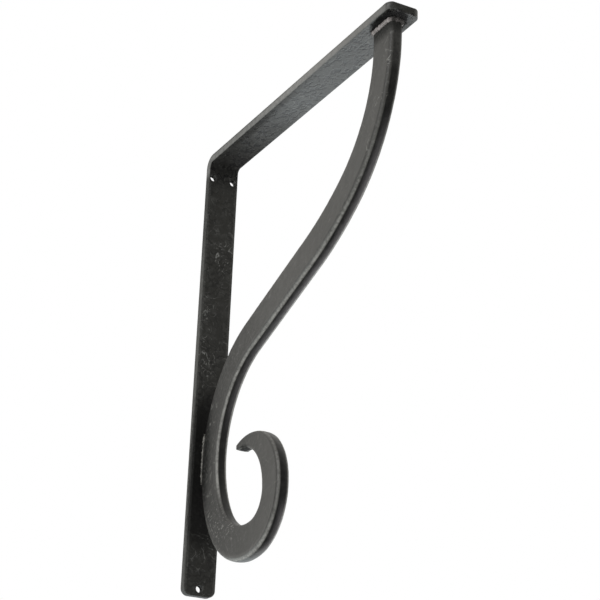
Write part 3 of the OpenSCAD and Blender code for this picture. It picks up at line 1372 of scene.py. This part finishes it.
@dataclass
class Welds:
    """The three beads: round the scroll's top, and on both sides of its belly.

    Attributes:
        edge: rounding of the scroll's edges.
        arm_drop: radius of a drop under the arm.
        leg_drop: radius of a drop beside the belly.
        pitch: distance from drop to drop.
        arm_gap: from the arm to a drop's middle, in radii of the drop.
        leg_gaps: from the scroll and from the leg to a drop's middle, in the same way.
        arm_seed: makes the drops' sizes under the arm.
        leg_seeds: the same for each side of the belly.
    """

    edge: float = 2.5 * MM
    arm_drop: float = 2.2 * MM
    leg_drop: float = 1.5 * MM
    pitch: float = 1.45 * MM
    arm_gap: float = 0.25
    leg_gaps: tuple[float, float] = (0.35, 0.55)
    arm_seed: int = 7
    leg_seeds: tuple[tuple[str, int], ...] = (("left", 11), ("right", 13))

    def build(self) -> None:
        """Lays all beads: the one under the arm is darker at its front."""
        low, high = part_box("arm_weld")
        arm = ((0, 0, high.z), (0, 0, -1))
        pale = CoatFinish(
            "bead_coat",
            base=(0.36, 0.328, 0.322),
            worn=(0.7, 0.64, 0.63),
            mottle=0.7,
            patch=320.0,
            edge_rub_and_highlight=0.0,
            soot_and_shade_spots=(
                # Darker at the bead's front and at its back left end.
                Spot((0.0015, low.y, high.z), (0.0088, 0.0052, 0.02), 0.72),
                Spot((low.x, high.y, high.z), (0.008, 0.006, 0.02), 0.2, 0.75),
            ),
            ragged=(420.0, 0.7),
        )
        path = self.round_top(low, high)
        WeldBead("dressed_arm_weld", "arm_weld", path, self.arm_drop, arm, self.arm_seed, pale).build()
        dark = CoatFinish(
            "dark_bead_coat",
            base=(0.13, 0.126, 0.116),
            worn=(0.6, 0.58, 0.54),
            mottle=0.8,
            patch=320.0,
            edge_rub_and_highlight=0.0,
        )
        for side, seed in self.leg_seeds:
            node = f"leg_weld_{side}"
            path, leg = self.beside_belly(node)
            WeldBead(f"dressed_{node}", node, path, self.leg_drop, leg, seed, dark).build()

    def round_top(self, low: Vector, high: Vector) -> list[Vector]:
        """Returns the drops' middles round the scroll's top.

        Args:
            low: lowest corner of the bead's solid.
            high: highest corner of the bead's solid.

        Returns:
            Points on a rounded rectangle, at one pitch.
        """
        _, scroll_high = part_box("scroll_brace")
        bead = high.x - scroll_high.x
        half_x = scroll_high.x
        half_y = (high.y - low.y) / 2 - bead
        middle = (high.y + low.y) / 2
        level = high.z - self.arm_gap * self.arm_drop
        corner = self.edge
        quarter = math.radians(90.0) * corner
        lengths = [2 * (half_y - corner), quarter, 2 * (half_x - corner), quarter] * 2
        total = sum(lengths)
        count = round(total / self.pitch)
        points = []
        for number in range(count):
            x, y = self.rim_point(number * total / count, half_x, half_y, corner)
            points.append(Vector((x, middle + y, level)))
        return points

    @staticmethod
    def rim_point(run: float, half_x: float, half_y: float, corner: float) -> tuple[float, float]:
        """Returns the point at a distance along the rim of a rounded rectangle.

        Args:
            run: the distance, from the start of the side at +X.
            half_x: half of its width.
            half_y: half of its length.
            corner: its corner radius.

        Returns:
            X and Y from its middle.
        """
        quarter = math.radians(90.0)
        sides = [2 * (half_y - corner), 2 * (half_x - corner)] * 2
        for number, side in enumerate(sides):
            turned = Matrix.Rotation(quarter * number, 2)
            near, far = (half_x, half_y) if number % 2 == 0 else (half_y, half_x)
            if run <= side:
                return tuple(turned @ Vector((near, run - side / 2)))
            run -= side
            if run <= quarter * corner:
                angle = run / corner
                inner = Vector((near - corner, far - corner))
                return tuple(turned @ (inner + corner * Vector((math.cos(angle), math.sin(angle)))))
            run -= quarter * corner
        return half_x, corner - half_y

    def beside_belly(self, node: str) -> tuple[list[Vector], tuple[Point, Point]]:
        """Returns the drops' middles beside the belly, and the leg's face.

        Args:
            node: the bead's solid.

        Returns:
            The points, and the face's place and outward normal.
        """
        low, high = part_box(node)
        side = 1.0 if high.x > 0 else -1.0
        root = min(abs(low.x), abs(high.x))
        x = side * (root + self.leg_gaps[0] * self.leg_drop)
        y = high.y - self.leg_gaps[1] * self.leg_drop
        count = round((high.z - low.z) / self.pitch)
        path = [Vector((x, y, low.z + (high.z - low.z) * (number + 0.5) / count)) for number in range(count)]
        return path, ((0, high.y, 0), (0, -1, 0))


@dataclass
class Studio:
    """The pale floor, the soft light and the camera.

    Attributes:
        floor_z: height of the floor.
        floor_side: side of the floor.
        camera_at: the camera's place.
        camera_aim: the point that the camera looks at.
        roll: the camera's turn about its own axis, in degrees.
        lens: focal length in millimetres.
        sensor: width of the camera's sensor in millimetres.
        paint: the floor's colour.
        cool: colour of the floor behind the bracket, as gloss shows it.
        warm: colour of the floor beside the bracket, as gloss shows it.
        air: colour of the room's light.
        lamp_at: the lamp's place.
        lamp_size: its width and height.
        lamp_power: its power in watts.
    """

    floor_z: float = -1.6
    floor_side: float = 40.0
    camera_at: Point = (-0.51813, -1.11930, -0.60328)
    camera_aim: Point = (0.00041, -0.14384, -0.15083)
    roll: float = 2.212
    lens: float = 101.807
    sensor: float = 36.0
    paint: Colour = (0.86, 0.89, 0.9)
    cool: Colour = (0.92, 0.985, 1.0)
    warm: Colour = (1.0, 0.96, 0.98)
    air: Colour = (1.0, 0.985, 0.94)
    lamp_at: Point = (-1.6, -0.6, 0.4)
    lamp_size: tuple[float, float] = (1.4, 2.0)
    lamp_power: float = 14.0

    def build(self) -> None:
        """Sets up floor, world, lamp, camera and view transform."""
        self.lay_floor()
        self.light_world()
        self.hang_lamp()
        self.place_camera()
        bpy.context.scene.view_settings.view_transform = "Standard"

    def lay_floor(self) -> None:
        """Lays a pale floor, well under the bracket, which glows only in the bracket's reflections, most
        behind and beside it.
        """
        bpy.ops.object.select_all(action="DESELECT")
        bpy.ops.mesh.primitive_plane_add(size=self.floor_side, location=(0, 0, self.floor_z))
        floor = bpy.context.object
        floor.name = "floor"
        made = bpy.data.materials.new("pale_floor")
        made.use_nodes = True
        g = Graph(made.node_tree)
        paint = g.add("ShaderNodeBsdfDiffuse", {"Color": (*self.paint, 1.0)})
        place = g.add("ShaderNodeTexCoord").outputs["Object"]
        axes = g.add("ShaderNodeSeparateXYZ", {0: place}).outputs
        behind = g.step(axes["Y"], 0.4, 2.2, 0.06, 1.64)
        beside = g.product(
            g.step(axes["X"], 0.5, 1.3, 0.0, 2.4),
            g.step(axes["Y"], 1.1, 2.1, 1.0, 0.0),
            g.step(axes["Y"], -4.0, -1.5),
        )
        cool = g.add("ShaderNodeEmission", {"Color": (*self.cool, 1.0), "Strength": behind})
        warm = g.add("ShaderNodeEmission", {"Color": (*self.warm, 1.0), "Strength": beside})
        glow = g.add("ShaderNodeAddShader", {0: cool.outputs[0], 1: warm.outputs[0]})
        rays = g.add("ShaderNodeLightPath").outputs
        mirrored = g.math("MAXIMUM", rays["Is Glossy Ray"], rays["Is Transmission Ray"])
        both = g.add("ShaderNodeMixShader", {0: mirrored, 1: paint.outputs[0], 2: glow.outputs[0]})
        g.add("ShaderNodeOutputMaterial", {"Surface": both.outputs[0]})
        floor.data.materials.append(made)

    def light_world(self) -> None:
        """Makes a white room that is darker on the camera's side, and least so to the right."""
        world = bpy.data.worlds.new("studio_room")
        bpy.context.scene.world = world
        world.use_nodes = True
        g = Graph(world.node_tree)
        towards = g.add("ShaderNodeTexCoord").outputs["Generated"]
        axes = g.add("ShaderNodeSeparateXYZ", {0: towards}).outputs
        depth = g.math("ADD", axes["Y"], g.product(axes["X"], 0.6))
        room = g.step(depth, -0.5, 0.5, 0.2, 1.0)
        seen = g.add("ShaderNodeLightPath").outputs["Is Camera Ray"]
        level = g.math("MAXIMUM", room, seen)
        colour = g.mix(seen, self.air, (1.0, 1.0, 1.0))
        light = g.add("ShaderNodeBackground", {"Color": colour, "Strength": level})
        g.add("ShaderNodeOutputWorld", {"Surface": light.outputs[0]})

    def hang_lamp(self) -> None:
        """Hangs one soft lamp that faces the bracket."""
        bpy.ops.object.light_add(type="AREA", location=self.lamp_at)
        lamp = bpy.context.object
        lamp.name = "left_softbox"
        lamp.data.shape = "RECTANGLE"
        lamp.data.size, lamp.data.size_y = self.lamp_size
        lamp.data.energy = self.lamp_power
        aim = Vector(self.camera_aim) - Vector(self.lamp_at)
        lamp.rotation_euler = aim.to_track_quat("-Z", "Y").to_euler()

    def place_camera(self) -> None:
        """Places the camera where the photograph was taken from."""
        bpy.ops.object.camera_add(location=self.camera_at)
        camera = bpy.context.object
        aim = Vector(self.camera_aim) - Vector(self.camera_at)
        turn = aim.to_track_quat("-Z", "Y").to_matrix() @ Matrix.Rotation(math.radians(self.roll), 3, "Z")
        camera.rotation_euler = turn.to_euler()
        camera.data.lens = self.lens
        camera.data.sensor_width = self.sensor
        bpy.context.scene.camera = camera


def main() -> None:
    """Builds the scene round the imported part."""
    logging.basicConfig(level=logging.INFO, format="%(message)s")
    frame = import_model()
    MountingBar(frame["record"]).build()
    ScrollBrace().build()
    Welds().build()
    Studio().build()


if __name__ == "__main__":
    main()
